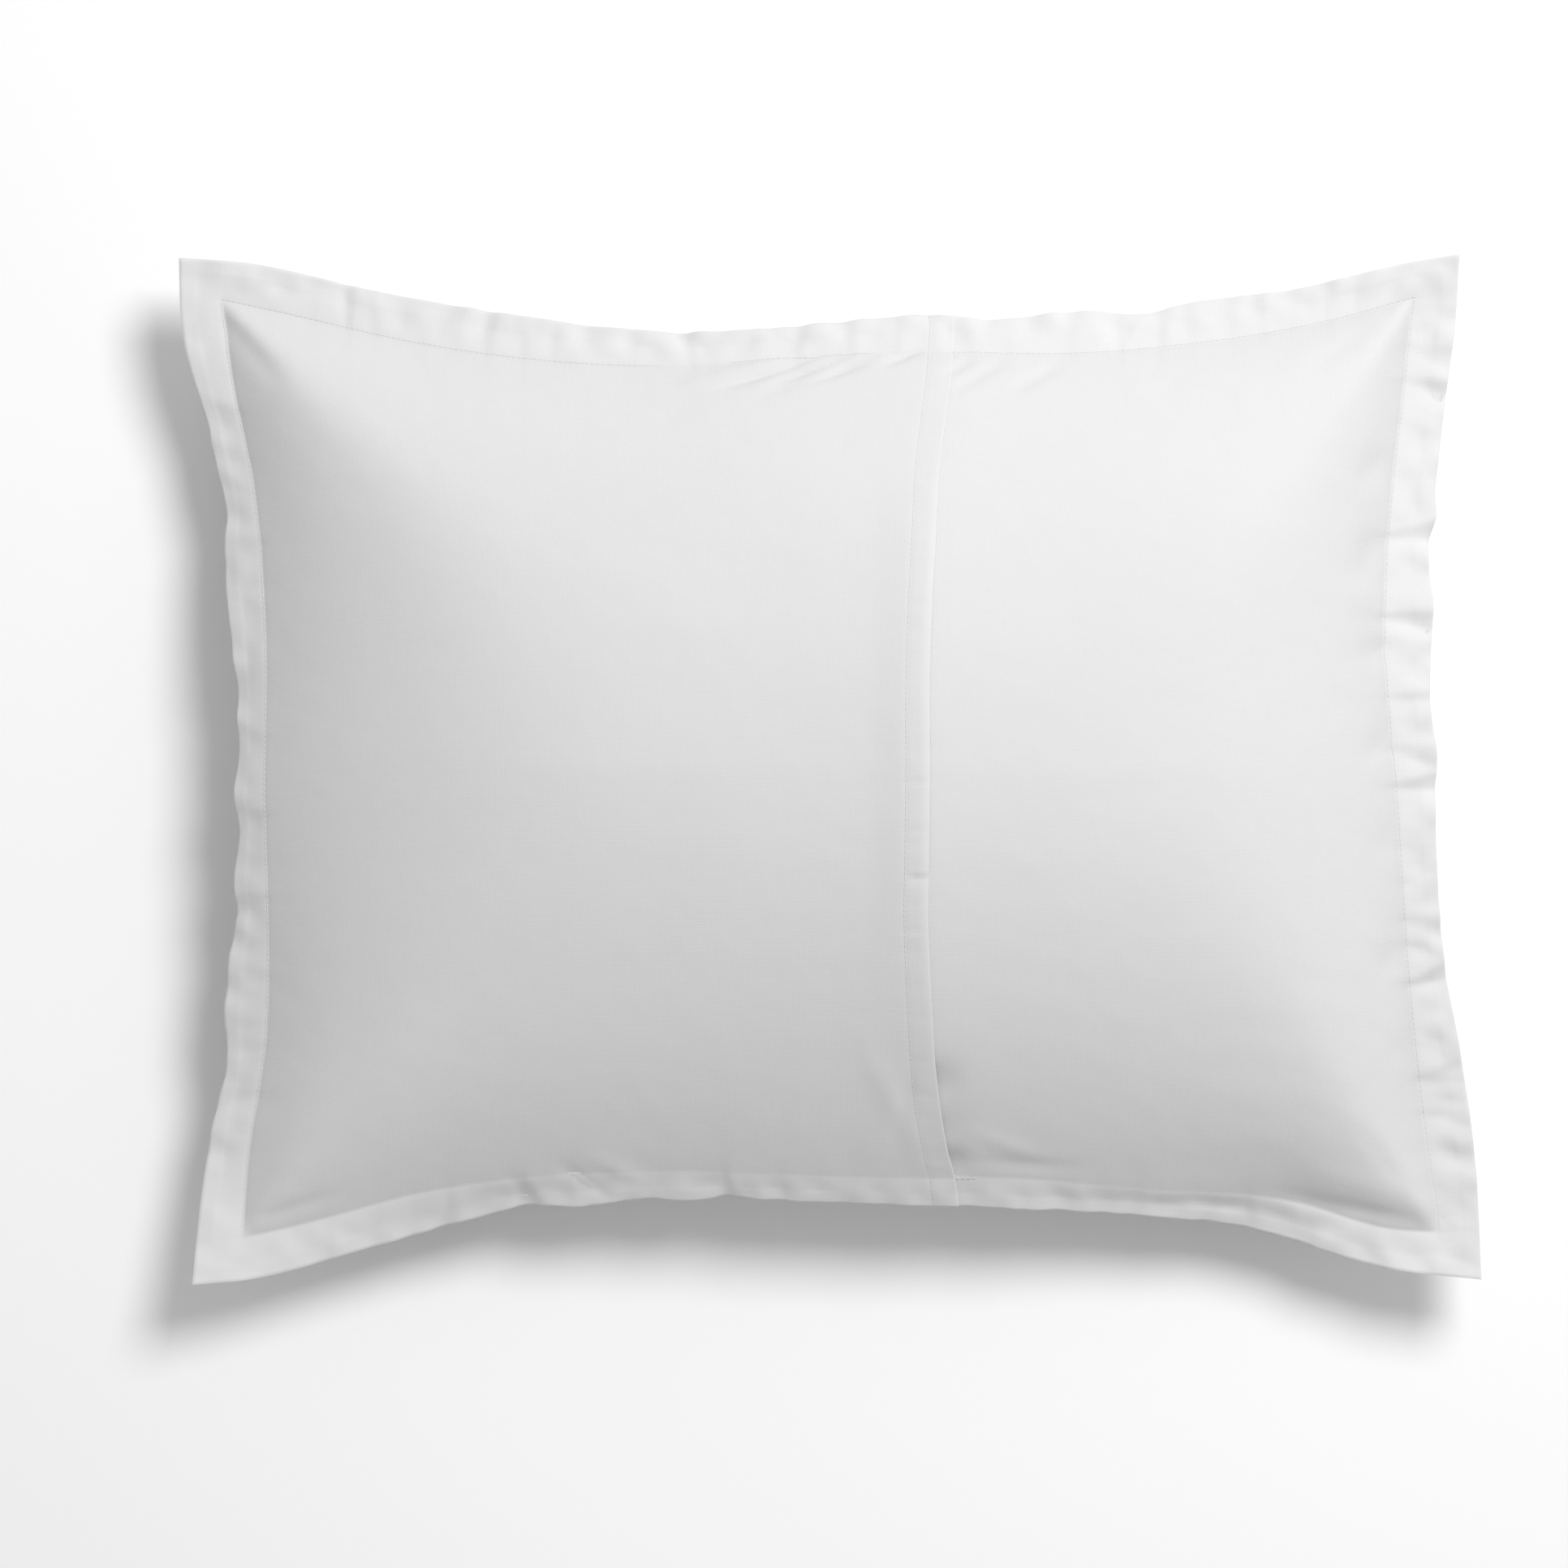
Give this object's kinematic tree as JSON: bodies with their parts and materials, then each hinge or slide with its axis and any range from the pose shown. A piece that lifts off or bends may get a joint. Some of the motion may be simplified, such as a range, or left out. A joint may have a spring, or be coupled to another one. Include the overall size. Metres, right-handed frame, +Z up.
{
  "type": "bed pillow",
  "caption": "Bed pillow lying on its front: a fibre-filled insert in a white cotton flanged sham with an overlapping envelope back.",
  "frame": {"origin": "on the surface that the pillow lies on, below the middle of its outline", "axes": "+X along its length towards the narrow back panel, +Y across its width, +Z up, out of its back, where the envelope opens"},
  "size_m": [0.705, 0.561, 0.1684],
  "materials": {
    "sham_cotton": "matte",
    "sewing_thread": "satin",
    "ticking_cotton": "matte",
    "piping_cotton": "matte",
    "polyester_fibre": "matte"
  },
  "bodies": {
    "pillow": {"front_panel": "sham_cotton", "wide_back_panel": "sham_cotton", "narrow_back_panel": "sham_cotton", "seam_allowance": "sham_cotton", "flange_stitch_back": "sewing_thread", "flange_stitch_face": "sewing_thread", "ticking_back": "ticking_cotton", "ticking_face": "ticking_cotton", "ticking_piping": "piping_cotton", "ticking_closing_stitch": "sewing_thread", "fill": "polyester_fibre"},
    "flap": {"back_flap": "sham_cotton", "back_flap_hem": "sham_cotton", "back_flap_hem_stitch": "sewing_thread"},
    "underlap": {"underlap": "sham_cotton", "underlap_hem": "sham_cotton", "underlap_hem_stitch": "sewing_thread"}
  },
  "joints": [
    {"name": "flap_lift", "type": "hinge", "parent": "pillow", "child": "flap", "pos_m": [-0.085, 0, 0.1639], "axis": [0, -1, 0], "range_deg": [0, 35]},
    {"name": "underlap_lift", "type": "hinge", "parent": "pillow", "child": "underlap", "pos_m": [0.075, 0, 0.1623], "axis": [0, 1, 0], "range_deg": [0, 7]}
  ],
  "couplings": [
    {"joint": "underlap_lift", "follows": "flap_lift", "ratio": 0.2}
  ]
}
